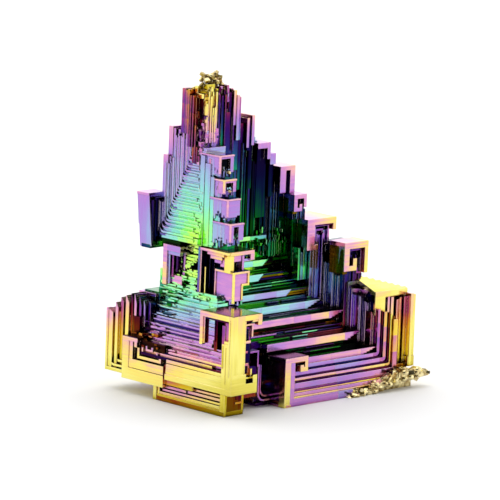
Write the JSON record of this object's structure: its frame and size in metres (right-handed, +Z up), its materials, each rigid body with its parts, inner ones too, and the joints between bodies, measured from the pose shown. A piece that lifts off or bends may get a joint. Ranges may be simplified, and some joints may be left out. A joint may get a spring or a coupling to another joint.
{
  "type": "bismuth hopper crystal",
  "caption": "Stepped tower of bismuth grown as one hopper crystal, with nested square frames, ledges, pleated posts and hooked rims, flat underneath.",
  "frame": {"origin": "middle of the footprint, at the flat underside", "axes": "+Z up the tower; the crystal's left face looks along -X and its deep right face along -Y, so the front edge points towards -X-Y"},
  "size_m": [0.0556, 0.037, 0.0636],
  "materials": {
    "oxide_film_bismuth": "bright bismuth metal under a thin oxide film: gold on the outer rims and the tip, then rose, violet, blue, teal and yellow-green towards the middle, with fine growth lines"
  },
  "bodies": {
    "root": {"bismuth_crystal": "oxide_film_bismuth"}
  },
  "joints": []
}
